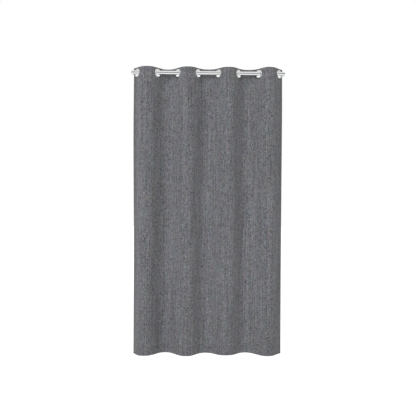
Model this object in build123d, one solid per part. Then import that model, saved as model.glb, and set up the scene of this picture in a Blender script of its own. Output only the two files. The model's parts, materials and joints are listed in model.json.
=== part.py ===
from build123d import *

import os
from math import cos, radians, sin, tan

# Eyelet curtain panel on its rod, in millimetres.
# +X runs along the rod to the right, -Y is the room side (the front), +Z is up.
# The origin is on the rod's axis, in the middle of the left end cap, where the left bracket holds it.

# ---- driving dimensions: the panel ----
EYELET_COUNT = 8
EYELET_PITCH = 177.0  # along the rod, open panel
WAVE_ANGLE = 50.0  # between the cloth and the rod at every eyelet, degrees
STRAIGHT_HALF = 40.0  # the cloth stays flat this far each side of an eyelet
SIDE_MARGIN = 50.0  # from the outer eyelets to the cloth's side edges, along the cloth
TOP_Z = 44.0  # top edge of the cloth above the rod's axis
DROP = 2500.0  # top edge to bottom edge
CLOTH = 1.2  # one layer of cloth
STIFFENER = 0.8
HEADING_DEPTH = 100.0
SIDE_HEM = 20.0
BOTTOM_HEM = 80.0

# ---- driving dimensions: eyelets ----
EYELET_DROP = 5.5  # the eyelets' centres hang this far below the rod's axis
EYELET_BORE = 28.0  # radii, from here on
BARREL_OUTER = 29.2
CLOTH_HOLE = 29.6
FRONT_OUTER = 38.5
BACK_OUTER = 37.5
FRONT_DOME = 3.2  # height of the front ring over the cloth
BACK_DOME = 2.2
SEAT_GAP = 0.15  # between a ring and the cloth under it
SNAP_GAP = 0.1  # between the barrel and the back ring

# ---- driving dimensions: rod ----
ROD_OUTER = 17.5
ROD_WALL = 1.2
CAP_OUTER = 21.5
CAP_LENGTH = 24.0
CAP_FLOOR = 3.0
CAP_EDGE = 1.5  # chamfer at the cap's outer end
CAP_BEYOND_CLOTH = 18.0  # how far each cap stands out past the cloth's edge

# ---- driving dimensions: trims ----
THREAD_WIDTH = 1.4
THREAD_HEIGHT = 0.7
STITCH_INSET = 3.0  # from a hem's free edge
LABEL = (45.0, 1.0, 70.0)
LABEL_ABOVE_HEM = 260.0

# ---- worked out ----
COS, SIN = cos(radians(WAVE_ANGLE)), sin(radians(WAVE_ANGLE))
SPAN = (EYELET_COUNT - 1) * EYELET_PITCH
EDGE_X = SIDE_MARGIN * COS  # the side edges, beyond the outer eyelets
CAP_WALL = CAP_LENGTH - CAP_EDGE
FIRST_X = EDGE_X + CAP_BEYOND_CLOTH - CAP_EDGE - CAP_WALL / 2  # eyelet 1 from the origin
ROD_START = -CAP_WALL / 2 - CAP_EDGE
ROD_END = 2 * FIRST_X + SPAN - ROD_START
ARC_RADIUS = (EYELET_PITCH / 2 - STRAIGHT_HALF * COS) / SIN
ARC_SAG = ARC_RADIUS * (1 - COS)
BOTTOM_Z = TOP_Z - DROP
HEADING_Z = TOP_Z - HEADING_DEPTH
CORE = CLOTH + STIFFENER + CLOTH  # heading thickness
FRONT_FACE = -CORE / 2  # offsets behind the cloth's wave line, negative towards the room
FRONT_BACK = FRONT_FACE + CLOTH
STIFF_BACK = FRONT_BACK + STIFFENER
BACK_FACE = CORE / 2
HEM_BACK = FRONT_BACK + 2 * CLOTH  # three layers at the side and bottom hems


def eyelet_x(number: int) -> float:
    """X of eyelet 1 to 8 along the rod."""
    return FIRST_X + (number - 1) * EYELET_PITCH


def leans_back(number: int) -> int:
    """1 where the cloth comes forward going right through the eyelet, -1 where it goes back."""
    return 1 if number % 2 else -1


def on_wave(number: int, along: float, offset: float) -> tuple:
    """Plan point on the flat stretch at an eyelet: along the cloth from its centre, offset behind it."""
    side = leans_back(number)
    return (
        eyelet_x(number) + along * COS + side * offset * SIN,
        -side * along * SIN + offset * COS,
    )


def wave(offset: float, start: float, end: float) -> list:
    """Edges of the wave line at an offset, from start before eyelet 1 to end past the last eyelet."""
    edges = []
    here = on_wave(1, -start, offset)
    for number in range(1, EYELET_COUNT):
        side = leans_back(number)
        out = on_wave(number, STRAIGHT_HALF, offset)
        back = on_wave(number + 1, -STRAIGHT_HALF, offset)
        crest = -side * (STRAIGHT_HALF * SIN + ARC_SAG) + offset
        middle = (eyelet_x(number) + EYELET_PITCH / 2, crest)
        edges += [Line(here, out), ThreePointArc(out, middle, back)]
        here = back
    edges.append(Line(here, on_wave(EYELET_COUNT, end, offset)))
    return edges


def band(front: float, back: float, z_low: float, z_high: float, margin: float = SIDE_MARGIN) -> Solid:
    """A strip of the hanging cloth between two offsets and two heights."""
    near, far = wave(front, margin, margin), wave(back, margin, margin)
    ends = [
        Line(on_wave(1, -margin, front), on_wave(1, -margin, back)),
        Line(on_wave(EYELET_COUNT, margin, front), on_wave(EYELET_COUNT, margin, back)),
    ]
    plan = make_face(near + far + ends)
    return Pos(0, 0, z_low) * extrude(plan, amount=z_high - z_low, dir=(0, 0, 1))


def flat_strip(number: int, along: tuple, offsets: tuple, z_low: float, z_high: float) -> Solid:
    """An upright strip on the flat stretch of cloth at an eyelet."""
    corners = [
        on_wave(number, along[0], offsets[0]),
        on_wave(number, along[1], offsets[0]),
        on_wave(number, along[1], offsets[1]),
        on_wave(number, along[0], offsets[1]),
    ]
    plan = make_face(Polyline(*corners, close=True))
    return Pos(0, 0, z_low) * extrude(plan, amount=z_high - z_low, dir=(0, 0, 1))


def eyelet_frame(number: int) -> Location:
    """Local Z points out of the cloth towards the room, with local X level along the cloth."""
    side = leans_back(number)
    along = (COS, -side * SIN, 0)
    towards_room = (-side * SIN, -COS, 0)
    return Plane((eyelet_x(number), 0, -EYELET_DROP), x_dir=along, z_dir=towards_room).location


def cut_eyelets(strip: Part) -> Part:
    """Punch the eight holes."""
    for number in range(1, EYELET_COUNT + 1):
        strip -= eyelet_frame(number) * Cylinder(CLOTH_HOLE, 6 * CORE)
    return strip


def curtain_cloth() -> Part:
    """The whole cloth: the face layer, the heading turned over the stiffener, and the side and bottom hems."""
    fold_z = TOP_Z - CLOTH
    cloth = band(FRONT_FACE, FRONT_BACK, BOTTOM_Z, TOP_Z)
    cloth += band(FRONT_BACK, BACK_FACE, fold_z, TOP_Z)
    cloth += band(STIFF_BACK, BACK_FACE, HEADING_Z, fold_z)
    cloth += band(FRONT_BACK, HEM_BACK, BOTTOM_Z, BOTTOM_Z + BOTTOM_HEM)
    hem_low, hem_high = BOTTOM_Z + BOTTOM_HEM, HEADING_Z
    side_layers = (FRONT_BACK, HEM_BACK)
    inner = SIDE_MARGIN - SIDE_HEM
    cloth += flat_strip(1, (-SIDE_MARGIN, -inner), side_layers, hem_low, hem_high)
    cloth += flat_strip(EYELET_COUNT, (inner, SIDE_MARGIN), side_layers, hem_low, hem_high)
    return cut_eyelets(cloth)


def header_stiffener() -> Part:
    """Interfacing inside the heading, a little short of the fold and of the side edges."""
    return cut_eyelets(band(FRONT_BACK, STIFF_BACK, HEADING_Z + 2, TOP_Z - CLOTH - 1, SIDE_MARGIN - 4))


def level_stitching(z: float, back: float) -> list:
    """The needle thread on the face and the bobbin thread on the back of a level seam."""
    low, high = z - THREAD_WIDTH / 2, z + THREAD_WIDTH / 2
    reach = SIDE_MARGIN - 2
    return [
        band(FRONT_FACE - THREAD_HEIGHT, FRONT_FACE, low, high, reach),
        band(back, back + THREAD_HEIGHT, low, high, reach),
    ]


def side_stitching(number: int) -> list:
    """The needle and bobbin threads of the upright seam along a side hem."""
    side = -1 if number == 1 else 1
    seam = side * (SIDE_MARGIN - SIDE_HEM + STITCH_INSET)
    along = (seam - THREAD_WIDTH / 2, seam + THREAD_WIDTH / 2)
    low, high = BOTTOM_Z + BOTTOM_HEM + 2, HEADING_Z - 2
    return [
        flat_strip(number, along, (FRONT_FACE - THREAD_HEIGHT, FRONT_FACE), low, high),
        flat_strip(number, along, (HEM_BACK, HEM_BACK + THREAD_HEIGHT), low, high),
    ]


def care_label() -> Part:
    """A blank tape label, sewn in at the free edge of the left side hem and lying behind the cloth."""
    start = -(SIDE_MARGIN - SIDE_HEM) + 0.5
    z_low = BOTTOM_Z + LABEL_ABOVE_HEM
    layers = (FRONT_BACK + 0.3, FRONT_BACK + 0.3 + LABEL[1])
    return flat_strip(1, (start, start + LABEL[0]), layers, z_low, z_low + LABEL[2])


def ring_section(inner: float, outer: float, seat: float, crown: float) -> Face:
    """Half section of a domed ring in the XZ plane, from its seat on the cloth to its crown."""
    mid = (inner + outer) / 2
    rim = seat + 0.35 * (crown - seat)
    outline = [
        Line((inner, 0, seat), (outer, 0, seat)),
        Line((outer, 0, seat), (outer, 0, rim)),
        ThreePointArc((outer, 0, rim), (mid, 0, crown), (inner, 0, rim)),
        Line((inner, 0, rim), (inner, 0, seat)),
    ]
    return make_face(outline)


def eyelet_front(number: int) -> Part:
    """Domed front ring with the barrel that passes through the cloth."""
    seat = CORE / 2 + SEAT_GAP
    ring = revolve(ring_section(EYELET_BORE, FRONT_OUTER, seat, seat + FRONT_DOME), Axis.Z, 360)
    barrel_back = -(CORE / 2 + SEAT_GAP + BACK_DOME * 0.7)
    wall = Pos(0, 0, barrel_back) * Cylinder(BARREL_OUTER, seat - barrel_back, align=STAND)
    bore = Pos(0, 0, barrel_back) * Cylinder(EYELET_BORE, seat - barrel_back, align=STAND)
    return eyelet_frame(number) * (ring + (wall - bore))


def eyelet_back(number: int) -> Part:
    """Flatter back ring that snaps over the barrel behind the cloth."""
    seat = -(CORE / 2 + SEAT_GAP)
    section = ring_section(BARREL_OUTER + SNAP_GAP, BACK_OUTER, seat, seat - BACK_DOME)
    return eyelet_frame(number) * revolve(section, Axis.Z, 360)


STAND = (Align.CENTER, Align.CENTER, Align.MIN)
ALONG_ROD = Rotation(0, 90, 0)


def curtain_rod() -> Part:
    """The tube, from inside one cap to inside the other."""
    start, end = ROD_START + CAP_FLOOR, ROD_END - CAP_FLOOR
    tube = Cylinder(ROD_OUTER, end - start, align=STAND) - Cylinder(ROD_OUTER - ROD_WALL, end - start, align=STAND)
    return Pos(start, 0, 0) * ALONG_ROD * tube


def end_cap(x: float, inwards: int) -> Part:
    """A cup pushed over the rod's end, with its floor outwards and a chamfered outer edge."""
    body = Cylinder(CAP_OUTER, CAP_LENGTH, align=STAND)
    body = chamfer(body.edges().group_by(Axis.Z)[0], CAP_EDGE)
    body -= Pos(0, 0, CAP_FLOOR) * Cylinder(ROD_OUTER + 0.05, CAP_LENGTH, align=STAND)
    return Pos(x, 0, 0) * Rotation(0, 90 * inwards, 0) * body


def write(name: str, shape) -> None:
    """Write one node, which may be a group of separate solids."""
    if isinstance(shape, list):
        shape = Compound(children=[solid for item in shape for solid in item.solids()])
    export_step(shape, f"parts/{name}.step")


os.makedirs("parts", exist_ok=True)

write("curtain_rod", curtain_rod())
write("rod_end_cap_left", end_cap(ROD_START, 1))
write("rod_end_cap_right", end_cap(ROD_END, -1))
write("curtain_cloth", curtain_cloth())
write("header_stiffener", header_stiffener())
write("heading_stitching", level_stitching(HEADING_Z + STITCH_INSET, BACK_FACE))
write("bottom_hem_stitching", level_stitching(BOTTOM_Z + BOTTOM_HEM - STITCH_INSET, HEM_BACK))
write("left_side_stitching", side_stitching(1))
write("right_side_stitching", side_stitching(EYELET_COUNT))
write("care_label", care_label())
for eyelet in range(1, EYELET_COUNT + 1):
    write(f"eyelet_{eyelet}_front", eyelet_front(eyelet))
    write(f"eyelet_{eyelet}_back", eyelet_back(eyelet))

half_wave = 2 * STRAIGHT_HALF + 2 * radians(WAVE_ANGLE) * ARC_RADIUS
print(f"flat cut {(EYELET_COUNT - 1) * half_wave + 2 * SIDE_MARGIN:.1f} x {DROP:.0f} mm")
print(f"eyelet 1 at x {FIRST_X:.2f}, rod {ROD_START:.2f} to {ROD_END:.2f}")
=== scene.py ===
"""A grey woven curtain panel hung by eight chrome eyelets on a short chrome rod.

Units are metres. +X runs along the rod, -Y is the room side and +Z is up. The rod's axis is the line where y
and z are 0.
"""

from __future__ import annotations

import json
import logging
import math
from dataclasses import dataclass
from enum import Enum
from typing import Any

import bmesh
import bpy
from mathutils import Matrix, Vector, noise

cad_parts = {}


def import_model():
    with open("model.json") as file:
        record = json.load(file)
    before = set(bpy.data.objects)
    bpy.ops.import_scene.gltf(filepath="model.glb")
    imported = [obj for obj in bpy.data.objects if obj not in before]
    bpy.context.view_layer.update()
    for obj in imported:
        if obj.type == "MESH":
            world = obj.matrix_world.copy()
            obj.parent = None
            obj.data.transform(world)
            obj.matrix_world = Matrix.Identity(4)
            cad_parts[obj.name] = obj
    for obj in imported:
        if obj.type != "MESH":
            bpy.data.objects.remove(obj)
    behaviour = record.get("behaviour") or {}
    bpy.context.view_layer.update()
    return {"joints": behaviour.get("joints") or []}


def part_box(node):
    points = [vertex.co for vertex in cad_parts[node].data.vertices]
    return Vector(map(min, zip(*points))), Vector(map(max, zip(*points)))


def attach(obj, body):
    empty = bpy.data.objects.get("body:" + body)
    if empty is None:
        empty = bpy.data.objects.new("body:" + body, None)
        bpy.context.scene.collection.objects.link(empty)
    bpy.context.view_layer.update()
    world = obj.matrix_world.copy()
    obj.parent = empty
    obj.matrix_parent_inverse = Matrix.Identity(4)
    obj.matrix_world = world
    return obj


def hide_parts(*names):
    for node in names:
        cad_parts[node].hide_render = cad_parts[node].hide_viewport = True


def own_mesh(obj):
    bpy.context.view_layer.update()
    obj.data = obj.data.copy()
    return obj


LOG = logging.getLogger("curtain")
MM = 0.001
QUARTER_TURN = math.pi / 2
CORNER = math.radians(50)  # edges that turn more than this stay crisp


class Side(Enum):
    """The face of the cloth that something lies on."""

    FRONT = -1
    BACK = 1


class End(Enum):
    """An end of the rod, as the way along X that its cap faces."""

    LEFT = -1
    RIGHT = 1


# ---------------------------------------------------------------- shader graph


class Number:
    """A number that varies over a surface. Arithmetic on it adds Math nodes."""

    def __init__(self, graph: Graph, socket: bpy.types.NodeSocket) -> None:
        """Wrap a socket of a graph."""
        self.graph = graph
        self.socket = socket

    def maths(self, operation: str, *values: Any) -> Number:
        """Apply a Math node.

        Args:
            operation: the Math node's operation.
            values: its inputs in order, as numbers or other wrapped sockets.

        Returns:
            The node's result.
        """
        node = self.graph.node("ShaderNodeMath", {"operation": operation}, dict(enumerate(values)))
        return Number(self.graph, node.outputs[0])

    def __add__(self, other: Any) -> Number:
        """Sum."""
        return self.maths("ADD", self, other)

    __radd__ = __add__

    def __mul__(self, other: Any) -> Number:
        """Product."""
        return self.maths("MULTIPLY", self, other)

    __rmul__ = __mul__

    def __sub__(self, other: Any) -> Number:
        """Difference."""
        return self.maths("SUBTRACT", self, other)

    def __rsub__(self, other: Any) -> Number:
        """Difference, reflected."""
        return self.maths("SUBTRACT", other, self)

    def __truediv__(self, other: Any) -> Number:
        """Quotient."""
        return self.maths("DIVIDE", self, other)

    def __pow__(self, other: Any) -> Number:
        """Power."""
        return self.maths("POWER", self, other)

    def __abs__(self) -> Number:
        """Size without sign."""
        return self.maths("ABSOLUTE", self)

    def sine(self) -> Number:
        """Sine of the value in radians."""
        return self.maths("SINE", self)

    def greater(self, other: Any) -> Number:
        """The larger of this and another value."""
        return self.maths("MAXIMUM", self, other)

    def lesser(self, other: Any) -> Number:
        """The smaller of this and another value."""
        return self.maths("MINIMUM", self, other)

    def ramp(self, start: float, end: float) -> Number:
        """Go smoothly from 0 at start to 1 at end.

        Args:
            start: the value that gives 0.
            end: the value that gives 1.

        Returns:
            The smoothed step.
        """
        settings = {"interpolation_type": "SMOOTHSTEP"}
        inputs = {"Value": self, "From Min": start, "From Max": end, "To Min": 0.0, "To Max": 1.0}
        node = self.graph.node("ShaderNodeMapRange", settings, inputs)
        return Number(self.graph, node.outputs[0])


class Graph:
    """One material's nodes, with its Principled shader ready."""

    def __init__(self, name: str) -> None:
        """Start an empty material with a Principled shader and an output.

        Args:
            name: the finish's name.
        """
        self.material = bpy.data.materials.new(name)
        self.material.use_nodes = True
        self.tree = self.material.node_tree
        self.tree.nodes.clear()
        self.shader = self.node("ShaderNodeBsdfPrincipled")
        self.node("ShaderNodeOutputMaterial", inputs={"Surface": self.shader.outputs[0]})

    def node(self, kind: str, settings: dict | None = None, inputs: dict | None = None) -> bpy.types.Node:
        """Add a node.

        Args:
            kind: the node's type name.
            settings: its attributes, set before its inputs are.
            inputs: values or links for its sockets, by name or by index.

        Returns:
            The new node.
        """
        made = self.tree.nodes.new(kind)
        for name, value in (settings or {}).items():
            setattr(made, name, value)
        for key, value in (inputs or {}).items():
            self.feed(made.inputs[key], value)
        return made

    def feed(self, socket: bpy.types.NodeSocket, value: Any) -> None:
        """Set or link an input.

        Args:
            socket: the input.
            value: a plain value, or the wrapped or plain output to link it to.
        """
        if isinstance(value, Number):
            self.tree.links.new(value.socket, socket)
        elif isinstance(value, bpy.types.NodeSocket):
            self.tree.links.new(value, socket)
        else:
            socket.default_value = value

    def number(self, node: bpy.types.Node, output: str | int = 0) -> Number:
        """Wrap an output of a node."""
        return Number(self, node.outputs[output])

    def cut_position(self) -> tuple[Number, Number]:
        """Read the place on the flat cut from the piece's UV map.

        Returns:
            Distances across and down the cut, in metres.
        """
        uv = self.node("ShaderNodeTexCoord").outputs["UV"]
        split = self.node("ShaderNodeSeparateXYZ", inputs={0: uv})
        return self.number(split, "X"), self.number(split, "Y")

    def grain(self, x: Any, y: Any, z: Any = 0.0, detail: float = 2.0, rough: float = 0.5) -> Number:
        """Smooth noise over coordinates that are already scaled, centred on 0 and about 1 high.

        Args:
            x: first coordinate.
            y: second coordinate.
            z: third coordinate, which also picks a separate pattern where it is a constant.
            detail: the noise's octaves.
            rough: how strong the finer octaves are.

        Returns:
            The noise, from about -1 to 1.
        """
        place = self.node("ShaderNodeCombineXYZ", inputs={0: x, 1: y, 2: z})
        inputs = {"Vector": place.outputs[0], "Scale": 1.0, "Detail": detail, "Roughness": rough}
        made = self.node("ShaderNodeTexNoise", {"noise_dimensions": "3D"}, inputs)
        return (self.number(made, 0) - 0.5) * 2.0

    def tint(self, colour: Any, other: Any, share: Any, blend: str = "MIX") -> bpy.types.NodeSocket:
        """Mix two colours.

        Args:
            colour: the first colour or socket.
            other: the second.
            share: how much of the second.
            blend: the Mix node's blend type.

        Returns:
            The mixed colour's socket.
        """
        settings = {"data_type": "RGBA", "blend_type": blend}
        made = self.node("ShaderNodeMix", settings, {0: share, 6: colour, 7: other})
        return made.outputs[2]

    def grey(self, value: Any) -> bpy.types.NodeSocket:
        """Turn a number into a grey colour's socket."""
        return self.node("ShaderNodeCombineColor", inputs={0: value, 1: value, 2: value}).outputs[0]

    def relief(self, height: Number, depth: float) -> bpy.types.NodeSocket:
        """Normal from a height of 0 to 1 that stands for so many metres."""
        inputs = {"Strength": 1.0, "Distance": depth, "Height": height}
        return self.node("ShaderNodeBump", inputs=inputs).outputs[0]

    def finish(self, constants: dict, varying: dict) -> bpy.types.Material:
        """Feed the shader.

        Args:
            constants: the inputs that are the same all over, by name.
            varying: the inputs that vary over the surface.

        Returns:
            The finished material.
        """
        for name, value in {**constants, **varying}.items():
            self.feed(self.shader.inputs[name], value)
        return self.material


# -------------------------------------------------------------------- finishes


@dataclass(frozen=True)
class Mottle:
    """An uneven pattern on the cut: how wide and long its spots are, and how strongly it shows."""

    wide: float
    long: float
    lot: float  # keeps it apart from the other patterns
    strength: float

    def on(self, graph: Graph, across: Number, down: Number) -> Number:
        """The pattern over the cut, from about -1 to 1."""
        return graph.grain(across / self.wide, down / self.long, self.lot, 2.0, 0.55)


@dataclass(frozen=True)
class WovenCloth:
    """Heathered slub weave of a linen-look cloth, patterned in the cut's own metres."""

    width: float
    drop: float
    hem: float
    heading: float
    side_hem: float
    eyelet_gap: float
    eyelet_margin: float
    eyelet_down: float
    shade: tuple[float, float, float] = (0.1128, 0.1132, 0.1195)
    yarn: float = 1.5 * MM
    # how strongly light and shade are painted across the folds
    fold_light_contrast: float = 0.08
    darkest: float = 0.15
    weave_strength: float = 0.08
    fine_warp: Mottle = Mottle(wide=5.2 * MM, long=16 * MM, lot=1.3, strength=1.18)
    fine_weft: Mottle = Mottle(wide=17 * MM, long=4.7 * MM, lot=5.9, strength=0.94)
    thick_warp: Mottle = Mottle(wide=7 * MM, long=45 * MM, lot=3.1, strength=0.42)
    thick_weft: Mottle = Mottle(wide=45 * MM, long=6 * MM, lot=7.7, strength=0.38)
    streak: Mottle = Mottle(wide=6 * MM, long=420 * MM, lot=12.5, strength=0.64)
    fleck: Mottle = Mottle(wide=3.6 * MM, long=3.6 * MM, lot=9.2, strength=0.52)
    cloud: Mottle = Mottle(wide=120 * MM, long=160 * MM, lot=2.4, strength=0.05)
    cool_dye: Mottle = Mottle(wide=40 * MM, long=70 * MM, lot=4.4, strength=2.0)
    plum_dye: Mottle = Mottle(wide=40 * MM, long=120 * MM, lot=16.1, strength=2.0)

    def material(self) -> bpy.types.Material:
        """Build the cloth's material.

        Returns:
            A matte weave with light and dark slubs both ways, cool and warm flecks, painted shade along its
            edges, hems, sides and round its eyelets, and painted light and shade across its folds.
        """
        graph = Graph("woven_cloth")
        across, down = graph.cut_position()
        fine_warp = self.fine_warp.on(graph, across, down)
        fine_weft = self.fine_weft.on(graph, across, down)
        thick_warp = self.thick_warp.on(graph, across, down)
        thick_weft = self.thick_weft.on(graph, across, down)
        streak = self.streak.on(graph, across, down)
        fleck = self.fleck.on(graph, across, down)
        cloud = self.cloud.on(graph, across, down)
        slubs = fine_warp * self.fine_warp.strength + fine_weft * self.fine_weft.strength
        slubs = slubs + thick_warp * self.thick_warp.strength + thick_weft * self.thick_weft.strength
        slubs = slubs + streak * self.streak.strength
        weave = (across * (math.pi / self.yarn)).sine() * (down * (math.pi / self.yarn)).sine()
        light = 1.0 + slubs + fleck * self.fleck.strength + cloud * self.cloud.strength
        light = (light + weave * self.weave_strength).greater(self.darkest)
        # painted shade along the folded and hemmed edges, on the hems and side margins and round the eyelets,
        # and painted light and shade across the folds
        light = light * self.painted_edge_shade(across, down) * self.painted_hem_and_side_shade(across, down)
        light = light * self.painted_fold_light_and_shade(across) * self.painted_eyelet_shadow(across, down)
        base = graph.tint((*self.shade, 1), self.heather(graph, across, down), 1.0, "MULTIPLY")
        colour = graph.tint(base, graph.grey(light), 1.0, "MULTIPLY")
        height = 0.5 + weave * 0.16 + (fine_warp + fine_weft) * 0.24 + (thick_warp + thick_weft) * 0.2
        constants = {"Sheen Weight": 0.12, "Sheen Roughness": 0.55, "Specular IOR Level": 0.2}
        varying = {
            "Base Color": colour,
            "Roughness": 0.88 + fleck * 0.06,
            "Normal": graph.relief(height, 0.6 * MM),
        }
        return graph.finish(constants, varying)

    def heather(self, graph: Graph, across: Number, down: Number) -> bpy.types.NodeSocket:
        """Tint the dyed fibres.

        Args:
            graph: the cloth's material.
            across: distance across the cut.
            down: distance down the cut.

        Returns:
            A tint that drifts between cool and warm, and between plum and moss.
        """
        cool = self.cool_dye.on(graph, across, down) * self.cool_dye.strength + 0.5
        plum = self.plum_dye.on(graph, across, down) * self.plum_dye.strength + 0.5
        one = graph.tint((0.98, 0.991, 1.034, 1), (1.018, 1.006, 0.967, 1), cool)
        other = graph.tint((1.033, 0.98, 1.01, 1), (0.966, 1.02, 0.99, 1), plum)
        return graph.tint(one, other, 1.0, "MULTIPLY")

    def painted_edge_shade(self, across: Number, down: Number) -> Number:
        """Paint shade along the folds and the cut edges.

        Args:
            across: distance across the cut.
            down: distance down the cut.

        Returns:
            Less than 1: painted shade along the folded edges, and a painted shadow line along the edges of
                the turned-over hems at the back.
        """
        from_side = abs(across).lesser(abs(self.width - across))
        from_end = abs(down).lesser(abs(self.drop - down))
        fold = from_side.lesser(from_end).ramp(0.5 * MM, 6.5 * MM)
        side_edge = (across + self.side_hem).lesser(self.width + self.side_hem - across)
        end_edge = (down + self.heading).lesser(self.drop + self.hem - down)
        edge = side_edge.lesser(end_edge).ramp(0.0, 3 * MM)
        return (0.68 + fold * 0.32) * (0.5 + edge * 0.5)

    def painted_fold_light_and_shade(self, across: Number) -> Number:
        """Painted light and shade: the folds that bulge towards the room are darker and those set back
        towards the window paler, evening out how they are lit.
        """
        turn = (across - self.eyelet_margin) * (math.pi / self.eyelet_gap)
        return 1.0 - turn.sine() * self.fold_light_contrast

    def painted_eyelet_shadow(self, across: Number, down: Number) -> Number:
        """Paint shade on the cloth round the eyelets' rims, where they would shadow it.

        Args:
            across: distance across the cut.
            down: distance down the cut.

        Returns:
            Less than 1 close to an eyelet.
        """
        along = across - self.eyelet_margin
        aside = along.maths("PINGPONG", along, self.eyelet_gap / 2)
        below = abs(down) - self.eyelet_down
        reach = (aside * aside + below * below) ** 0.5
        return 0.72 + reach.ramp(38 * MM, 47 * MM) * 0.28

    def painted_hem_and_side_shade(self, across: Number, down: Number) -> Number:
        """Paint shade on the hems, where no light would come through two layers, and on the cloth beside the
        sides, and darken towards the foot of the panel.

        Args:
            across: distance across the cut.
            down: distance down the cut.

        Returns:
            Less than 1 in the hems, beside the side hems and towards the foot of the panel.
        """
        start = self.drop - self.hem
        from_side = abs(across).lesser(abs(self.width - across))
        foot = down.ramp(start - 1 * MM, start + 1 * MM) * 0.06 + down.ramp(start - 0.75, start) * 0.06
        hems = 0.84 + from_side.ramp(20 * MM, 60 * MM) * 0.16
        left = 0.82 + across.ramp(45 * MM, 95 * MM) * 0.18
        right = 0.81 + (self.width - across).ramp(60 * MM, 160 * MM) * 0.19
        return (1.0 - foot) * hems * left * right


@dataclass(frozen=True)
class SewingThread:
    """Twisted polyester thread a shade darker than the cloth."""

    shade: tuple[float, float, float] = (0.065, 0.065, 0.07)
    twist: float = 0.35 * MM

    def material(self) -> bpy.types.Material:
        """Build the thread's material.

        Returns:
            A slightly glossy thread, with its plies as fine slanted ridges.
        """
        graph = Graph("sewing_thread")
        place = graph.node("ShaderNodeTexCoord").outputs["Object"]
        split = graph.node("ShaderNodeSeparateXYZ", inputs={0: place})
        x, y, z = (graph.number(split, axis) for axis in "XYZ")
        ply = ((x + y + z) * (2 * math.pi / self.twist)).sine()
        tone = 1.0 + ply * 0.15 + graph.grain(x / (3 * MM), y / (3 * MM), z / (3 * MM)) * 0.25
        colour = graph.tint((*self.shade, 1), graph.grey(tone), 1.0, "MULTIPLY")
        varying = {"Base Color": colour, "Normal": graph.relief(ply * 0.5 + 0.5, 0.05 * MM)}
        return graph.finish({"Roughness": 0.6, "Sheen Weight": 0.15}, varying)


@dataclass(frozen=True)
class Interfacing:
    """White non-woven stiffener with bonded fibres."""

    shade: tuple[float, float, float] = (0.72, 0.72, 0.69)

    def material(self) -> bpy.types.Material:
        """Build the stiffener's material.

        Returns:
            A matte white felt of short fibres with a dotted bond.
        """
        graph = Graph("interfacing")
        across, down = graph.cut_position()
        fibre = graph.grain(across / (1.2 * MM), down / (5 * MM), 2.0, 3.0, 0.7)
        bond = (across * (math.pi / (2 * MM))).sine() * (down * (math.pi / (2 * MM))).sine()
        colour = graph.tint((*self.shade, 1), graph.grey(1.0 + fibre * 0.12), 1.0, "MULTIPLY")
        height = 0.5 + fibre * 0.2 + bond * 0.2
        varying = {"Base Color": colour, "Normal": graph.relief(height, 0.3 * MM)}
        return graph.finish({"Roughness": 0.9}, varying)


@dataclass(frozen=True)
class SatinTape:
    """Blank white satin label tape with woven selvedges."""

    width: float
    shade: tuple[float, float, float] = (0.78, 0.77, 0.74)

    def material(self) -> bpy.types.Material:
        """Build the label's material.

        Returns:
            A soft satin with fine ribs across it and denser edges.
        """
        graph = Graph("satin_tape")
        across, down = graph.cut_position()
        rib = (down * (math.pi / (0.5 * MM))).sine()
        edge = abs(across - self.width / 2).ramp(self.width / 2 - 2.5 * MM, self.width / 2 - 1.5 * MM)
        tone = 1.0 + rib * 0.04 - edge * 0.08 + graph.grain(across / (6 * MM), down / (6 * MM)) * 0.05
        colour = graph.tint((*self.shade, 1), graph.grey(tone), 1.0, "MULTIPLY")
        varying = {
            "Base Color": colour,
            "Roughness": 0.42 + edge * 0.2,
            "Normal": graph.relief(rib * 0.5 + edge, 0.06 * MM),
        }
        return graph.finish({"Sheen Weight": 0.2}, varying)


@dataclass(frozen=True)
class BrightPlate:
    """Bright plated metal, with faint handling marks."""

    name: str
    shade: tuple[float, float, float]
    roughness: float
    mark_long: float
    mark_thin: float

    def material(self) -> bpy.types.Material:
        """Build the plate's material.

        Returns:
            A mirror-like metal with hairline marks along X and a slightly uneven polish.
        """
        graph = Graph(self.name)
        place = graph.node("ShaderNodeTexCoord").outputs["Object"]
        split = graph.node("ShaderNodeSeparateXYZ", inputs={0: place})
        x, y, z = (graph.number(split, axis) for axis in "XYZ")
        marks = graph.grain(x / self.mark_long, y / self.mark_thin, z / self.mark_thin, 2.0)
        smear = graph.grain(x / (30 * MM), y / (30 * MM), z / (30 * MM), 3.0, 0.6)
        tone = 1.0 + smear * 0.05
        varying = {
            "Base Color": graph.tint((*self.shade, 1), graph.grey(tone), 1.0, "MULTIPLY"),
            "Roughness": self.roughness + abs(smear) * 0.08 + abs(marks) * 0.04,
            "Normal": graph.relief(marks * 0.5 + 0.5, 0.01 * MM),
        }
        return graph.finish({"Metallic": 1.0}, varying)


# ---------------------------------------------------------------- shared moves


def keep_piece(name: str, mesh: bmesh.types.BMesh, material: bpy.types.Material) -> bpy.types.Object:
    """Make an object of a finished mesh, with smooth faces and crisp corners.

    Args:
        name: the piece's name.
        mesh: the mesh, which is freed.
        material: its finish.

    Returns:
        The new object, at the origin.
    """
    data = bpy.data.meshes.new(name)
    for edge in mesh.edges:
        edge.smooth = edge.calc_face_angle(0.0) < CORNER
    mesh.to_mesh(data)
    mesh.free()
    data.polygons.foreach_set("use_smooth", [True] * len(data.polygons))
    data.materials.append(material)
    made = bpy.data.objects.new(name, data)
    bpy.context.scene.collection.objects.link(made)
    LOG.info("%s: %d faces", name, len(data.polygons))
    return made


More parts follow.
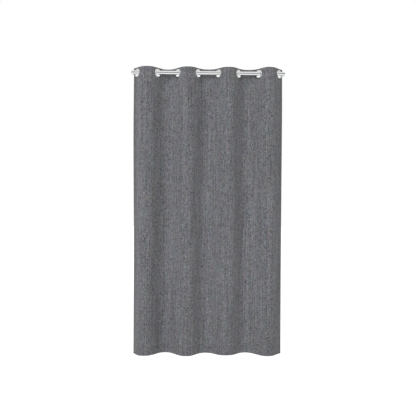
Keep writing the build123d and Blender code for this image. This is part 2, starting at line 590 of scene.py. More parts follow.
def turned(profile: list[tuple[float, float]], steps: int) -> bmesh.types.BMesh:
    """Spin a closed outline round Z.

    Args:
        profile: (radius, height) pairs round the section.
        steps: how many steps a full turn takes.

    Returns:
        The turned mesh, with its faces pointing out.
    """
    mesh = bmesh.new()
    points = [mesh.verts.new((radius, 0.0, height)) for radius, height in profile]
    edges = [mesh.edges.new((points[i - 1], points[i])) for i in range(len(points))]
    axis = {"cent": (0, 0, 0), "axis": (0, 0, 1), "angle": 2 * math.pi, "steps": steps}
    bmesh.ops.spin(mesh, geom=points + edges, use_merge=True, **axis)
    bmesh.ops.remove_doubles(mesh, verts=mesh.verts, dist=1e-6)
    bmesh.ops.recalc_face_normals(mesh, faces=mesh.faces)
    return mesh


def arc(centre: tuple[float, float], size: tuple[float, float], start: float, end: float, count: int) -> list:
    """Points along part of an ellipse in a section.

    Args:
        centre: (radius, height) of its centre.
        size: its half widths.
        start: the first point's angle in degrees.
        end: the last point's angle.
        count: how many points.

    Returns:
        (radius, height) pairs.
    """
    angles = [math.radians(start + (end - start) * i / (count - 1)) for i in range(count)]
    return [(centre[0] + size[0] * math.cos(a), centre[1] + size[1] * math.sin(a)) for a in angles]


def eased(share: float) -> float:
    """Hold a share between 0 and 1, and ease it in and out."""
    share = min(1.0, max(0.0, share))
    return share * share * (3 - 2 * share)


def stops(start: float, end: float, step: float) -> list[float]:
    """Evenly spaced places from start up to but not including end, about a step apart."""
    count = max(1, round((end - start) / step))
    return [start + (end - start) * i / count for i in range(count)]


# ----------------------------------------------------------- the hanging cloth


@dataclass(frozen=True)
class Wave:
    """The open panel's plan: flats through the eyelets, joined by arcs."""

    first_x: float
    pitch: float
    eyelets: int
    angle: float = math.radians(50)
    flat: float = 40 * MM
    margin: float = 50 * MM

    @property
    def radius(self) -> float:
        """Radius of the arcs between the flats."""
        return (self.pitch / 2 - self.flat * math.cos(self.angle)) / math.sin(self.angle)

    @property
    def half_length(self) -> float:
        """Cloth from one eyelet to the next."""
        return 2 * self.flat + 2 * self.angle * self.radius

    @property
    def width(self) -> float:
        """The flat cut's width between its folded side edges."""
        return (self.eyelets - 1) * self.half_length + 2 * self.margin

    def eyelet_along(self, number: int) -> float:
        """Distance along the cloth from its left edge to an eyelet."""
        return self.margin + (number - 1) * self.half_length

    def eyelet_x(self, number: int) -> float:
        """Place of an eyelet along the rod."""
        return self.first_x + (number - 1) * self.pitch

    def plan(self, along: float) -> tuple[float, float, float]:
        """Find a point of the wave.

        Args:
            along: distance along the cloth from its left edge.

        Returns:
            X, Y and the heading in radians, counted from +X towards +Y.
        """
        gap = min(self.eyelets - 2, max(0, math.floor((along - self.margin) / self.half_length)))
        step = along - self.margin - gap * self.half_length
        side = 1 if gap % 2 == 0 else -1
        cos, sin = math.cos(self.angle), math.sin(self.angle)
        if step <= self.flat:
            x, y, heading = step * cos, -step * sin, -self.angle
        elif step >= self.half_length - self.flat:
            rest = self.half_length - step
            x, y, heading = self.pitch - rest * cos, -rest * sin, self.angle
        else:
            heading = (step - self.flat) / self.radius - self.angle
            x = self.pitch / 2 + self.radius * math.sin(heading)
            y = -self.flat * sin - self.radius * (math.cos(heading) - cos)
        return self.eyelet_x(gap + 1) + x, side * y, side * heading


@dataclass(frozen=True)
class Ripple:
    """A slow unevenness of hanging cloth: how far it reaches along and down, and how deep it is."""

    along: float
    down: float
    lot: float  # keeps it apart from the other ripples
    depth: float

    def at(self, along: float, down: float) -> float:
        """How far the cloth strays at a place on it."""
        return self.depth * noise.noise(Vector((along / self.along, down / self.down, self.lot)))


@dataclass(frozen=True)
class Drape:
    """How the cloth hangs: the wave at the heading, easing into looser folds towards the hem."""

    wave: Wave
    top: float
    drop: float
    heading: float = 100 * MM
    face: float = -1.3 * MM  # the face layer's middle, behind the wave's line
    free_after: float = 0.35  # from the heading down to where the cloth hangs freely
    ripple: Ripple = Ripple(along=0.11, down=0.75, lot=3.7, depth=0.0022)
    drift: Ripple = Ripple(along=0.34, down=0.9, lot=8.1, depth=0.005)
    stray: Ripple = Ripple(along=0.3, down=1.1, lot=14.9, depth=0.004)
    # where each fold has wandered to at the hem, from the left edge over the seven crests to the right edge
    wander: tuple[float, ...] = (0.016, -0.020, -0.013, -0.001, -0.006, -0.013, -0.020, -0.007, 0.000)
    # how much deeper each fold has grown at the hem
    swell: tuple[float, ...] = (0.0, -0.15, 0.19, 0.12, -0.09, -0.38, 0.04, 0.10, 0.0)
    # how much higher or lower than its neighbours the top edge stands at each of those places
    lift: tuple[float, ...] = (0.0, 0.0, -0.002, 0.0, 0.003, 0.0, 0.003, 0.004, 0.0)
    lift_gone: float = 0.5  # from the top edge down to where that has died away

    def _lifted(self, along: float) -> float:
        """Find how far the top edge rises, which is nothing at an eyelet and most halfway to the next.

        Args:
            along: distance from the left edge along the cloth.

        Returns:
            The rise, negative where the edge sags.
        """
        place = (along - self.wave.margin) / self.wave.half_length
        if place < 0:
            return self.lift[0] * (1 - along / self.wave.margin)
        if place > self.wave.eyelets - 1:
            return self.lift[-1] * (1 - (self.wave.width - along) / self.wave.margin)
        gap = min(self.wave.eyelets - 2, int(place))
        return self.lift[gap + 1] * math.sin(math.pi * (place - gap)) ** 2

    def _at_crest(self, values: tuple[float, ...], along: float) -> float:
        """Ease between the values given for the side edges and the crests.

        Args:
            values: one for the left edge, one for each crest and one for the right edge.
            along: distance from the left edge along the cloth.

        Returns:
            The value there.
        """
        place = (along - self.wave.margin) / self.wave.half_length + 0.5
        place = min(len(values) - 1.0, max(0.0, place))
        index = min(len(values) - 2, int(place))
        share = eased(place - index)
        return values[index] * (1 - share) + values[index + 1] * share

    def point(self, along: float, down: float, behind: float) -> Vector:
        """Find a place on or behind the hanging cloth.

        Args:
            along: distance from the left edge along the cloth.
            down: distance from the top edge.
            behind: distance behind the wave's line, negative towards the room.

        Returns:
            The point in the row frame.
        """
        x, y, heading = self.wave.plan(along)
        loose = eased((down - self.heading) / (self.drop - self.heading))
        y *= 1 + self._at_crest(self.swell, along) * loose
        x += self._at_crest(self.wander, along) * loose
        free = min(1.0, max(0.0, (down - self.heading) / self.free_after))
        y += free * (self.ripple.at(along, down) + self.drift.at(along, down))
        x += free * self.stray.at(along, down)
        x -= behind * math.sin(heading)
        y += behind * math.cos(heading)
        z = self.top - down + self._lifted(along) * max(0.0, 1 - down / self.lift_gone) ** 2
        return Vector((x, y, z))

    def across(self, along: float, down: float) -> Vector:
        """Unit vector along the cloth, level, at a place on it."""
        step = 1 * MM
        return (self.point(along + step, down, 0) - self.point(along - step, down, 0)).normalized()

    def outward(self, along: float, down: float, side: Side) -> Vector:
        """Unit normal of the cloth towards one side."""
        level = self.across(along, down)
        return Vector((-level.y, level.x, 0)) * side.value


@dataclass
class Panel:
    """The cloth with its hems, its stiffener, its seams and its label."""

    drape: Drape
    keep: float  # the share of its width that the panel keeps when it is drawn
    eyelet_down: float  # from the top edge to the eyelets' centres
    thick: float = 0.6 * MM
    hole: float = 31.0 * MM
    heading_fold: float = 1.3 * MM
    side_hem: float = 20 * MM
    heading_side_hem: float = 10 * MM
    side_layer: float = 0.8 * MM
    bottom_hem: float = 80 * MM
    bottom_fold: float = 1.2 * MM
    seam_inset: float = 3 * MM
    seam_end: float = 2 * MM  # bare cloth at each end of a seam
    stiffener_inset: float = 12 * MM  # from the side edges
    stiffener_short: float = 2 * MM  # how far it ends above the heading's lower edge
    column: float = 8.6 * MM
    row: float = 17 * MM
    heading_row: float = 6.25 * MM
    hem_row: float = 12 * MM
    stitch_pitch: float = 3.6 * MM
    stitch_size: tuple[float, float, float] = (1.45 * MM, 0.38 * MM, 0.3 * MM)
    label_size: tuple[float, float] = (45 * MM, 70 * MM)
    label_down: float = 2170 * MM
    label_thick: float = 0.3 * MM
    label_gap: float = 0.5 * MM  # from the side hem's edge
    label_lift: float = 0.35 * MM
    label_curl: float = 2.5 * MM

    @property
    def wave(self) -> Wave:
        """The plan that the panel hangs in."""
        return self.drape.wave

    @property
    def heading(self) -> float:
        """Depth of the heading, down to its turned-in edge."""
        return self.drape.heading

    def build(self) -> None:
        """Make every piece of the panel, each hiding the CAD node that it stands for."""
        width, drop = self.wave.width, self.drape.drop
        weave = WovenCloth(
            width=width,
            drop=drop,
            hem=self.bottom_hem,
            heading=self.heading,
            side_hem=self.side_hem,
            eyelet_gap=self.wave.half_length,
            eyelet_margin=self.wave.margin,
            eyelet_down=self.eyelet_down,
        )
        cloth = self.cloth(weave.material())
        stiffener = self.stiffener(Interfacing().material())
        thread = SewingThread().material()
        heading_down = self.heading - self.seam_inset
        bottom_down = drop - self.bottom_hem + self.seam_inset
        edge_in = self.side_hem - self.seam_inset
        seams = [
            self.level_seam("heading_stitches", heading_down, thread, "heading_stitching"),
            self.level_seam("bottom_hem_stitches", bottom_down, thread, "bottom_hem_stitching"),
            self.side_seam("left_side_stitches", edge_in, thread, "left_side_stitching"),
            self.side_seam("right_side_stitches", width - edge_in, thread, "right_side_stitching"),
        ]
        label = self.label(SatinTape(self.label_size[0]).material())
        rings = [f"eyelet_{number}_ring" for number in range(1, self.wave.eyelets + 1)]

    def place(self, piece: bpy.types.Object, node: str, slot: str) -> bpy.types.Object:
        """Hang a piece on the panel's body and hide the CAD node that it stands for.

        Args:
            piece: the finished piece.
            node: the CAD node that it stands for.
            slot: the record's material slot, not used.

        Returns:
            The piece.
        """
        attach(piece, "panel")
        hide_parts(node)
        anchor = (self.wave.first_x, 0, 0)
        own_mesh(piece)
        return piece

    @staticmethod
    def solidify(piece: bpy.types.Object, thick: float) -> None:
        """Give a sheet its thickness, half each side, in its mesh.

        Args:
            piece: the sheet.
            thick: its thickness.
        """
        wall = piece.modifiers.new("thickness", "SOLIDIFY")
        wall.thickness = thick
        wall.offset = 0.0
        wall.use_even_offset = False
        solid = bpy.data.meshes.new_from_object(piece.evaluated_get(bpy.context.evaluated_depsgraph_get()))
        piece.modifiers.clear()
        piece.data = solid

    @staticmethod
    def folded(past: float, radius: float) -> tuple[float, float]:
        """Turn cloth over at a fold.

        Args:
            past: distance on the cloth from the fold line, negative on the turned-over side.
            radius: radius of the turn.

        Returns:
            Distance in from the folded edge, and depth behind the face.
        """
        bend = QUARTER_TURN * radius
        if past >= bend:
            return past - bend + radius, 0.0
        if past <= -bend:
            return -past - bend + radius, 2 * radius
        angle = past / radius
        return radius * (1 - math.cos(angle)), radius * (1 - math.sin(angle))

    def columns(self) -> list[float]:
        """Place the grid's columns.

        Returns:
            Distances across the cut, side hems included.
        """
        width, bend = self.wave.width, QUARTER_TURN * self.side_layer / 2
        turn = [-bend, -bend / 2, 0.0, bend / 2]
        side, narrow = self.side_hem, self.heading_side_hem
        left = [-side, -side * 0.75, -narrow, -narrow / 2, *turn]
        margin = stops(bend, self.wave.margin, self.column)
        inner = []
        for number in range(1, self.wave.eyelets):
            inner += stops(self.wave.eyelet_along(number), self.wave.eyelet_along(number + 1), self.column)
        middle = [width / 2]
        half = [place for place in left + margin + inner if place < width / 2 - self.column / 2]
        return half + middle + [width - place for place in reversed(half)]

    def rows(self) -> list[float]:
        """Place the grid's rows.

        Returns:
            Distances down the cut, from the heading's turned-in edge to the hem's.
        """
        drop, fine = self.drape.drop, self.heading_row
        top, low = QUARTER_TURN * self.heading_fold, QUARTER_TURN * self.bottom_fold
        heading = stops(top, self.heading, fine) + [self.heading]
        seams = [self.heading + fine * 1.4]
        hem_start = drop - self.bottom_hem
        body = stops(self.heading + fine * 3, hem_start - fine, self.row)
        hem = [hem_start - fine] + stops(hem_start, drop - low, self.hem_row)
        head_turn = [-top / 2, 0.0, top / 2]
        hem_turn = [drop - low, drop - low / 2, drop, drop + low / 2, drop + low]
        hem_back = [2 * drop - place for place in reversed(hem[1:])]
        head_back = [-place for place in reversed(heading)]
        return head_back + head_turn + heading + seams + body + hem + hem_turn + hem_back

    def cloth(self, material: bpy.types.Material) -> bpy.types.Object:
        """Make the cloth: one cut with its heading, side hems and bottom hem turned over, punched and hung.

        Args:
            material: the weave.

        Returns:
            The cloth.
        """
        columns, rows = self.columns(), self.rows()
        mesh = self.flat_grid(columns, rows)
        self.trim_corners(mesh)
        self.punch(mesh, (self.eyelet_down, -self.eyelet_down))
        self.write_cut(mesh)
        for vert in mesh.verts:
            vert.co = self.hung(vert.co.x, vert.co.y)
        piece = keep_piece("curtain_cloth_panel", mesh, material)
        self.solidify(piece, self.thick)
        return self.place(piece, "curtain_cloth", "cloth")

    @staticmethod
    def flat_grid(columns: list[float], rows: list[float]) -> bmesh.types.BMesh:
        """Make a flat grid in the XY plane.

        Args:
            columns: X of its upright lines.
            rows: Y of its level lines.

        Returns:
            The grid's mesh.
        """
        mesh = bmesh.new()
        across, down = len(columns) - 1, len(rows) - 1
        bmesh.ops.create_grid(mesh, x_segments=across, y_segments=down, size=1.0)
        for vert in mesh.verts:
            column = round((vert.co.x + 1) / 2 * across)
            row = round((vert.co.y + 1) / 2 * down)
            vert.co = (columns[column], rows[row], 0.0)
        return mesh

    def trim_corners(self, mesh: bmesh.types.BMesh) -> None:
        """Narrow the side hems inside the heading, so that they stay clear of the outer eyelets.

        Args:
            mesh: the flat cut.
        """
        width, inner = self.wave.width, self.heading_side_hem
        spare = []
        for face in mesh.faces:
            centre = face.calc_center_median()
            if centre.y < self.heading and not -inner < centre.x < width + inner:
                spare.append(face)
        bmesh.ops.delete(mesh, geom=spare, context="FACES")

    def punch(self, mesh: bmesh.types.BMesh, heights: tuple[float, ...]) -> None:
        """Punch round holes for the eyelets.

        Args:
            mesh: the flat cut.
            heights: where down the cut each row of holes lies.
        """
        for number in range(1, self.wave.eyelets + 1):
            for height in heights:
                centre = Vector((self.wave.eyelet_along(number), height, 0))
                inside = [vert for vert in mesh.verts if (vert.co - centre).length < self.hole]
                rim = {
                    edge.other_vert(vert)
                    for vert in inside
                    for edge in vert.link_edges
                    if (edge.other_vert(vert).co - centre).length >= self.hole
                }
                bmesh.ops.delete(mesh, geom=inside, context="VERTS")
                for vert in rim:
                    vert.co = centre + (vert.co - centre).normalized() * self.hole
        loose = [vert for vert in mesh.verts if not vert.link_faces]
        bmesh.ops.delete(mesh, geom=loose, context="VERTS")

    @staticmethod
    def write_cut(mesh: bmesh.types.BMesh) -> None:
        """Write each corner's place on the flat cut, in metres, to the UV map.

        Args:
            mesh: the flat cut.
        """
        layer = mesh.loops.layers.uv.new("cut")
        for face in mesh.faces:
            for loop in face.loops:
                loop[layer].uv = (loop.vert.co.x, loop.vert.co.y)

    def hung(self, across: float, down: float) -> Vector:
        """Where a point of the flat cut hangs, with the hems turned over.

        Args:
            across: distance across the cut from the left fold.
            down: distance down the cut from the top fold.

        Returns:
            The point in the row frame.
        """
        width, drop = self.wave.width, self.drape.drop
        near_left = across < width / 2
        inwards, side_depth = self.folded(across if near_left else width - across, self.side_layer / 2)
        along = inwards if near_left else width - inwards
        if down < drop / 2:
            below, depth = self.folded(down, self.heading_fold)
        else:
            above, depth = self.folded(drop - down, self.bottom_fold)
            below = drop - above
        full = 2 * (self.heading_fold if down < drop / 2 else self.bottom_fold)
        turned_over = depth / full
        layer = depth + side_depth * (1 - 2 * turned_over)
        return self.drape.point(along, below, self.drape.face + layer)

    def stiffener(self, material: bpy.types.Material) -> bpy.types.Object:
        """Make the interfacing strip inside the heading.

        Args:
            material: the interfacing.

        Returns:
            The stiffener.
        """
        left, right = self.stiffener_inset, self.wave.width - self.stiffener_inset
        columns = [left] + [place for place in self.columns() if left < place < right] + [right]
        low = self.heading - self.stiffener_short
        rows = stops(self.heading_fold * 2, low, self.heading_row) + [low]
        mesh = self.flat_grid(columns, rows)
        self.punch(mesh, (self.eyelet_down,))
        self.write_cut(mesh)
        for vert in mesh.verts:
            vert.co = self.drape.point(vert.co.x, vert.co.y, 0.0)
        piece = keep_piece("header_interfacing", mesh, material)
        self.solidify(piece, self.thick)
        return self.place(piece, "header_stiffener", "stiffener")

    def seam(self, name: str, spots: list[tuple[float, float, float]], upright: bool) -> bmesh.types.BMesh:
        """Lay stitches on both faces of the cloth.

        Args:
            name: a name for the pattern stitch.
            spots: (along, down, behind) of each stitch.
            upright: True where the seam runs down the cloth.

        Returns:
            The seam's mesh.
        """
        pattern = bmesh.new()
        bmesh.ops.create_icosphere(pattern, subdivisions=1, radius=1.0)
        stitch = bpy.data.meshes.new(name)
        pattern.to_mesh(stitch)
        pattern.free()
        mesh = bmesh.new()
        for along, down, behind in spots:
            level = self.drape.across(along, down)
            out = self.drape.outward(along, down, Side.BACK)
            run = Vector((0, 0, 1)) if upright else level
            side = level if upright else Vector((0, 0, 1))
            size = self.stitch_size
            turn = Matrix((run * size[0], side * size[1], out * size[2])).transposed().to_4x4()
            turn.translation = self.drape.point(along, down, behind)
            stitch.transform(turn)
            mesh.from_mesh(stitch)
            stitch.transform(turn.inverted())
        bpy.data.meshes.remove(stitch)
        bmesh.ops.recalc_face_normals(mesh, faces=mesh.faces)
        return mesh

    def level_seam(self, name: str, down: float, material: bpy.types.Material, node: str) -> bpy.types.Object:
        """Sew a level seam along the wave, with a needle thread in front and a bobbin thread behind.

        Args:
            name: the piece's name.
            down: distance of the seam from the top edge.
            material: the thread.
            node: the CAD node that the seam stands for.

        Returns:
            The seam's stitches.
        """
        front = self.drape.face - self.thick / 2
        depth = 2 * (self.heading_fold if down < self.heading else self.bottom_fold)
        back = self.drape.face + depth + self.thick / 2
        pitch = self.stitch_pitch
        places = stops(self.seam_end, self.wave.width - self.seam_end, pitch)
        spots = [(along + pitch / 2, down, behind) for along in places for behind in (front, back)]
        return self.place(keep_piece(name, self.seam(name, spots, upright=False), material), node, "thread")

    def side_seam(self, name: str, along: float, material: bpy.types.Material, node: str) -> bpy.types.Object:
        """Sew an upright seam down a side hem.

        Args:
            name: the piece's name.
            along: distance of the seam from the left edge.
            material: the thread.
            node: the CAD node that the seam stands for.

        Returns:
            The seam's stitches.
        """
        front = self.drape.face - self.thick / 2
        back = self.drape.face + self.side_layer + self.thick / 2
        start, end = self.heading + self.seam_end, self.drape.drop - self.bottom_hem - self.seam_end
        pitch = self.stitch_pitch
        places = stops(start, end, pitch)
        spots = [(along, down + pitch / 2, behind) for down in places for behind in (front, back)]
        return self.place(keep_piece(name, self.seam(name, spots, upright=True), material), node, "thread")

    def label(self, material: bpy.types.Material) -> bpy.types.Object:
        """Make the blank label, caught in the left side hem and curling slightly off the cloth.

        Args:
            material: the satin tape.

        Returns:
            The label.
        """
        wide, high = self.label_size
        mesh = self.flat_grid(stops(0, wide, 3 * MM) + [wide], stops(0, high, 5 * MM) + [high])
        self.write_cut(mesh)
        start = self.side_hem + self.label_gap
        for vert in mesh.verts:
            share = vert.co.x / wide
            lift = self.label_lift + self.label_curl * share * share * (0.6 + 0.4 * vert.co.y / high)
            vert.co = self.drape.point(start + vert.co.x, self.label_down + vert.co.y, lift)
        piece = keep_piece("blank_care_label", mesh, material)
        self.solidify(piece, self.label_thick)
        return self.place(piece, "care_label", "label")


# ------------------------------------------------------------------ the eyelets


@dataclass
class Eyelets:
    """Eight two-part eyelets: a domed ring with a rolled barrel, and the washer that it is clenched over."""

    wave: Wave
    keep: float
    drop: float  # from the rod's axis down to the eyelets' centres
    bore: float = 28.0 * MM
    barrel: float = 29.2 * MM
    outer: float = 38.5 * MM
    washer_outer: float = 37.5 * MM
    seat: float = 1.75 * MM
    dome: float = 3.2 * MM
    crown: float = 0.42  # share of the way from the bore to the rim where the dome is highest
    rim_high: float = 0.9 * MM
    rim_round: float = 0.45 * MM
    lip: float = 0.9 * MM  # radius of the barrel's clenched edge
    lip_grip: float = 0.3 * MM
    washer_dome: float = 2.2 * MM
    washer_rim: float = 0.6 * MM
    washer_slack: float = 0.1 * MM
    steps: int = 96

    def ring_profile(self) -> list[tuple[float, float]]:
        """Draw the section of the front ring: barrel, rolled inner lip, dome, rolled outer rim and seat.

        Returns:
            (radius, height) pairs.
        """
        rim, crown = self.seat + self.rim_high, self.seat + self.dome
        middle = self.bore + self.crown * (self.outer - self.bore)
        back = -(self.seat + self.washer_dome * 0.7)
        inner_side = arc((middle, rim), (middle - self.bore, crown - rim), 180, 90, 10)
        outer_side = arc((middle, rim), (self.outer - middle, crown - rim), 90, 0, 12)[1:]
        outer_edge = arc((self.outer - self.rim_round, rim), (self.rim_round, self.rim_high), 0, -90, 5)[1:]
        clench = arc((self.bore + self.lip, back), (self.lip, self.lip), -60, -180, 6)
        barrel = [(self.barrel, self.seat), (self.barrel, back + self.lip_grip)]
        return inner_side + outer_side + outer_edge + barrel + clench

    def washer_profile(self) -> list[tuple[float, float]]:
        """Draw the section of the back washer: flat on the cloth, domed behind.

        Returns:
            (radius, height) pairs.
        """
        inner, outer, seat = self.barrel + self.washer_slack, self.washer_outer, -self.seat
        middle, rim = (inner + outer) / 2, -self.seat - self.washer_rim
        back = arc((middle, rim), (outer - middle, self.washer_dome - self.washer_rim), 0, -180, 16)
        return [(inner, seat), (outer, seat), *back]

    def frame(self, number: int) -> Matrix:
        """Place an eyelet, with local X level along the cloth and local Z towards the room.

        Args:
            number: which eyelet, counted from the left.

        Returns:
            Its place in the row frame.
        """
        side = 1 if number % 2 else -1
        cos, sin = math.cos(self.wave.angle), math.sin(self.wave.angle)
        along, up = Vector((cos, -side * sin, 0)), Vector((0, 0, 1))
        out = Vector((-side * sin, -cos, 0))
        turn = Matrix((along, up, out)).transposed().to_4x4()
        turn.translation = (self.wave.eyelet_x(number), 0, -self.drop)
        return turn

    def build(self) -> None:
        """Make the sixteen halves and put each pair on its own body."""
        finish = BrightPlate(
            name="eyelet_plate",
            shade=(0.80, 0.815, 0.775),
            roughness=0.09,
            mark_long=6 * MM,
            mark_thin=1.2 * MM,
        ).material()
        halves = {Side.FRONT: ("ring", self.ring_profile()), Side.BACK: ("washer", self.washer_profile())}
        for number in range(1, self.wave.eyelets + 1):
            for side, (half, profile) in halves.items():
                mesh = turned(profile, self.steps)
                bmesh.ops.transform(mesh, matrix=self.frame(number), verts=mesh.verts)
                piece = keep_piece(f"eyelet_{number}_{half}", mesh, finish)
                self.place(piece, number, f"eyelet_{number}_{side.name.lower()}")

    def place(self, piece: bpy.types.Object, number: int, node: str) -> None:
        """Ride an eyelet's half on its body and hide the CAD node that it stands for.

        Args:
            piece: the finished half.
            number: which eyelet, counted from the left.
            node: the CAD node that the half stands for.
        """
        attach(piece, "panel" if number == 1 else f"eyelet_{number}")
        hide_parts(node)
        anchor = (self.wave.eyelet_x(number), 0, 0)
        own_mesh(piece)


# ---------------------------------------------------------------------- the rod


@dataclass
class Rod:
    """The chromed tube and its two end caps."""

    radius: float
    wall: float = 1.2 * MM
    cap_floor: float = 3 * MM
    cap_round: float = 1.6 * MM
    cap_slack: float = 0.05 * MM
    cap_dish: float = 0.4 * MM
    mouth_bead: float = 4 * MM
    mouth_round: float = 0.6 * MM
    groove: float = 0.5 * MM
    crisp: float = 0.3 * MM  # distance to the close ring that keeps an edge crisp
    steps: int = 128

    def build(self) -> None:
        """Make the tube and the caps between the places that the frame gives."""
        finish = BrightPlate(
            name="rod_chrome",
            shade=(0.77, 0.785, 0.80),
            roughness=0.05,
            mark_long=60 * MM,
            mark_thin=0.8 * MM,
        ).material()
        low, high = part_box("curtain_rod")
        tube = [(self.radius - self.wall, low[0]), (self.radius, low[0])]
        tube += [(self.radius, high[0]), (self.radius - self.wall, high[0])]
        self.lay(keep_piece("rod_tube", self.along_rod(tube), finish), "curtain_rod", "rod")
        for end in End:
            hand = end.name.lower()
            node = f"rod_end_cap_{hand}"
            profile = self.cap_profile(*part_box(node), end)
            self.lay(keep_piece(f"rod_{hand}_cap", self.along_rod(profile), finish), node, "rod_cap")

    def cap_profile(self, low: Vector, high: Vector, end: End) -> list[tuple[float, float]]:
        """Section of a cap, with a rounded outer edge and a shallow groove near its mouth.

        Args:
            low: lowest corner of the cap's box.
            high: highest corner.
            end: the end of the rod that the cap closes.

        Returns:
            (radius, place along the rod) pairs.
        """
        outer, inner = (high[2] - low[2]) / 2, self.radius + self.cap_slack
        long, bead = high[0] - low[0], self.mouth_bead
        round_edge = arc((outer - self.cap_round, long - self.cap_round), (self.cap_round,) * 2, 90, 0, 7)
        section = [(0.0, long - self.cap_dish), (outer * 0.8, long), *round_edge]
        section += [(outer, long - self.cap_round - self.crisp), (outer, bead + self.groove + self.crisp)]
        section += [(outer, bead + self.groove), (outer - self.groove, bead), (outer, bead - self.groove)]
        section += [(outer, self.mouth_round), (outer - self.mouth_round, 0.0), (inner, 0.0)]
        section += [(inner, long - self.cap_floor), (0.0, long - self.cap_floor)]
        start = high[0] if end is End.LEFT else low[0]
        return [(radius, start + end.value * place) for radius, place in section]

    def along_rod(self, profile: list[tuple[float, float]]) -> bmesh.types.BMesh:
        """Turn a section and lay its axis along X.

        Args:
            profile: (radius, place along the rod) pairs.

        Returns:
            The turned mesh.
        """
        mesh = turned(profile, self.steps)
        bmesh.ops.rotate(mesh, cent=(0, 0, 0), matrix=Matrix.Rotation(QUARTER_TURN, 3, "Y"), verts=mesh.verts)
        bmesh.ops.recalc_face_normals(mesh, faces=mesh.faces)
        return mesh

    @staticmethod
    def lay(piece: bpy.types.Object, node: str, slot: str) -> None:
        """Ride a piece on the rod's body.

        Args:
            piece: the finished piece.
            node: the CAD node that it stands for.
            slot: the record's material slot, not used.
        """
        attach(piece, "rod")
        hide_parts(node)


# -------------------------------------------------------------------- the studio


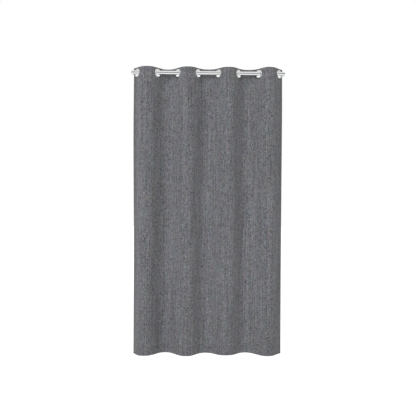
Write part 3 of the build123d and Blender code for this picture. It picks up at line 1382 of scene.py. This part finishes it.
@dataclass
class Studio:
    """White surroundings, a soft light from the left, what the chrome mirrors, and the camera."""

    middle: float
    hem: float
    distance: float = 5.05
    eye_level: float = -1.1777
    aim_right: float = 0.0035
    orbit: float = math.radians(1.33)
    roll: float = math.radians(-0.33)
    lens: float = 50.0
    film: float = 36.0
    floor_below: float = 0.12  # distance below the hem
    floor_size: float = 40.0
    board_size: tuple[float, float] = (2.4, 0.8)  # half the width and half the height
    board_away: float = 2.4
    board_front: float = 0.44  # height of the middle of the boards in front and behind
    board_side: float = -0.6  # and of those at the sides
    disc_below: float = 0.1  # distance below the hem
    disc_radius: float = 1.3
    sun_power: float = 2.4
    sun_soft: float = math.radians(56)
    sun_from: tuple[float, float, float] = (-0.50, -0.86, 0.10)

    def build(self) -> None:
        """Set the colours, the surroundings, the light, the floor and the camera."""
        bpy.context.scene.view_settings.view_transform = "Standard"
        self.surroundings()
        self.light()
        self.floor()
        self.dark_boards()
        self.grey_disc()
        self.camera()

    def surroundings(self) -> None:
        """White all round."""
        world = bpy.data.worlds.new("white_room")
        world.use_nodes = True
        back = world.node_tree.nodes["Background"]
        back.inputs[0].default_value = (1, 1, 1, 1)
        back.inputs[1].default_value = 1.0
        bpy.context.scene.world = world

    def light(self) -> None:
        """A broad soft light from the left and in front, a little above the rod."""
        lamp = bpy.data.lights.new("window_light", "SUN")
        lamp.energy = self.sun_power
        lamp.angle = self.sun_soft
        lamp.color = (0.97, 0.98, 1.06)
        made = bpy.data.objects.new("window_light", lamp)
        made.visible_glossy = False
        made.rotation_euler = Vector(self.sun_from).to_track_quat("Z", "Y").to_euler()
        bpy.context.scene.collection.objects.link(made)

    def floor(self) -> None:
        """A pale floor below the hem that hardly takes a shadow."""
        graph = Graph("pale_floor")
        constants = {"Base Color": (0.3, 0.3, 0.3, 1), "Roughness": 1.0, "Specular IOR Level": 0.0}
        graph.finish({**constants, "Emission Color": (1, 1, 1, 1), "Emission Strength": 0.85}, {})
        mesh = bmesh.new()
        bmesh.ops.create_grid(mesh, x_segments=1, y_segments=1, size=self.floor_size)
        bmesh.ops.translate(mesh, verts=mesh.verts, vec=(0, 0, self.hem - self.floor_below))
        keep_piece("studio_floor", mesh, graph.material)

    def dark_boards(self) -> None:
        """Dark boards on four sides, seen only in the chrome.

        Those in front and behind draw the dark line along the rod. Those at the sides stand lower, and shade
        the outer lower rims of the eyelets.
        """
        mesh = bmesh.new()
        upright = Matrix.Rotation(QUARTER_TURN, 3, "X")
        for quarter in range(4):
            board = bmesh.ops.create_grid(mesh, x_segments=1, y_segments=1, size=1.0)["verts"]
            height = self.board_front if quarter % 2 == 0 else self.board_side
            bmesh.ops.scale(mesh, vec=(*self.board_size, 1), verts=board)
            bmesh.ops.rotate(mesh, cent=(0, 0, 0), matrix=upright, verts=board)
            bmesh.ops.translate(mesh, verts=board, vec=(0, self.board_away, height))
            turn = Matrix.Rotation(quarter * QUARTER_TURN, 3, "Z")
            bmesh.ops.rotate(mesh, cent=(0, 0, 0), matrix=turn, verts=board)
        bmesh.ops.translate(mesh, verts=mesh.verts, vec=(self.middle, 0, 0))
        self.reflected("dark_boards", mesh, (0.03, 0.03, 0.032))

    def grey_disc(self) -> None:
        """A grey disc under the hem, seen only in the chrome, which shades its underside."""
        mesh = bmesh.new()
        bmesh.ops.create_circle(mesh, segments=64, radius=self.disc_radius, cap_ends=True)
        bmesh.ops.translate(mesh, verts=mesh.verts, vec=(self.middle, 0, self.hem - self.disc_below))
        self.reflected("grey_disc", mesh, (0.66, 0.67, 0.60))

    @staticmethod
    def reflected(name: str, mesh: bmesh.types.BMesh, shade: tuple[float, float, float]) -> None:
        """Keep a card of the studio that shows in bright metal and nowhere else.

        Args:
            name: the card's name.
            mesh: its mesh, which is freed.
            shade: its colour.
        """
        graph = Graph(name)
        constants = {"Base Color": (0, 0, 0, 1), "Roughness": 1.0, "Specular IOR Level": 0.0}
        graph.finish({**constants, "Emission Color": (*shade, 1), "Emission Strength": 1.0}, {})
        card = keep_piece(name, mesh, graph.material)
        card.visible_camera = False
        card.visible_diffuse = False
        card.visible_shadow = False
        card.visible_transmission = False

    def camera(self) -> None:
        """A camera almost square to the panel, a little to the left of its middle."""
        data = bpy.data.cameras.new("camera")
        data.lens = self.lens
        data.sensor_width = self.film
        data.dof.use_dof = False
        made = bpy.data.objects.new("camera", data)
        aside, back = math.sin(self.orbit) * self.distance, math.cos(self.orbit) * self.distance
        made.location = (self.middle + self.aim_right - aside, -back, self.eye_level)
        made.rotation_euler = (QUARTER_TURN, self.roll, -self.orbit)
        bpy.context.scene.collection.objects.link(made)
        bpy.context.scene.camera = made


# -------------------------------------------------------------------------- main


def centre_of(node: str) -> Vector:
    """Middle of a CAD node's box."""
    low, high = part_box(node)
    return (Vector(low) + Vector(high)) / 2


def main() -> None:
    """Build the panel, its eyelets, its rod and the studio round the frame."""
    logging.basicConfig(level=logging.INFO, format="%(name)s: %(message)s")
    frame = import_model()
    low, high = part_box("curtain_cloth")
    eyelets = 8
    middle = centre_of("curtain_cloth").x
    # these two are turned the same way, so that their boxes' middles are whole pitches apart
    second, last = centre_of("eyelet_2_front"), centre_of(f"eyelet_{eyelets}_front")
    pitch = (last.x - second.x) / (eyelets - 2)
    wave = Wave(first_x=middle - pitch * (eyelets - 1) / 2, pitch=pitch, eyelets=eyelets)
    draw = next(joint for joint in frame["joints"] if joint["name"] == "draw")
    keep = 1 - max(draw["range_m"]) / (pitch * (eyelets - 1))
    drape = Drape(wave=wave, top=high[2], drop=high[2] - low[2])
    LOG.info("flat cut %.4f x %.4f m, kept when drawn %.2f", wave.width, drape.drop, keep)
    Panel(drape=drape, keep=keep, eyelet_down=high[2] - second.z).build()
    Eyelets(wave=wave, keep=keep, drop=-second.z).build()
    rod_low, rod_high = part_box("curtain_rod")
    Rod(radius=(rod_high[2] - rod_low[2]) / 2).build()
    Studio(middle=middle, hem=low[2]).build()


if __name__ == "__main__":
    main()
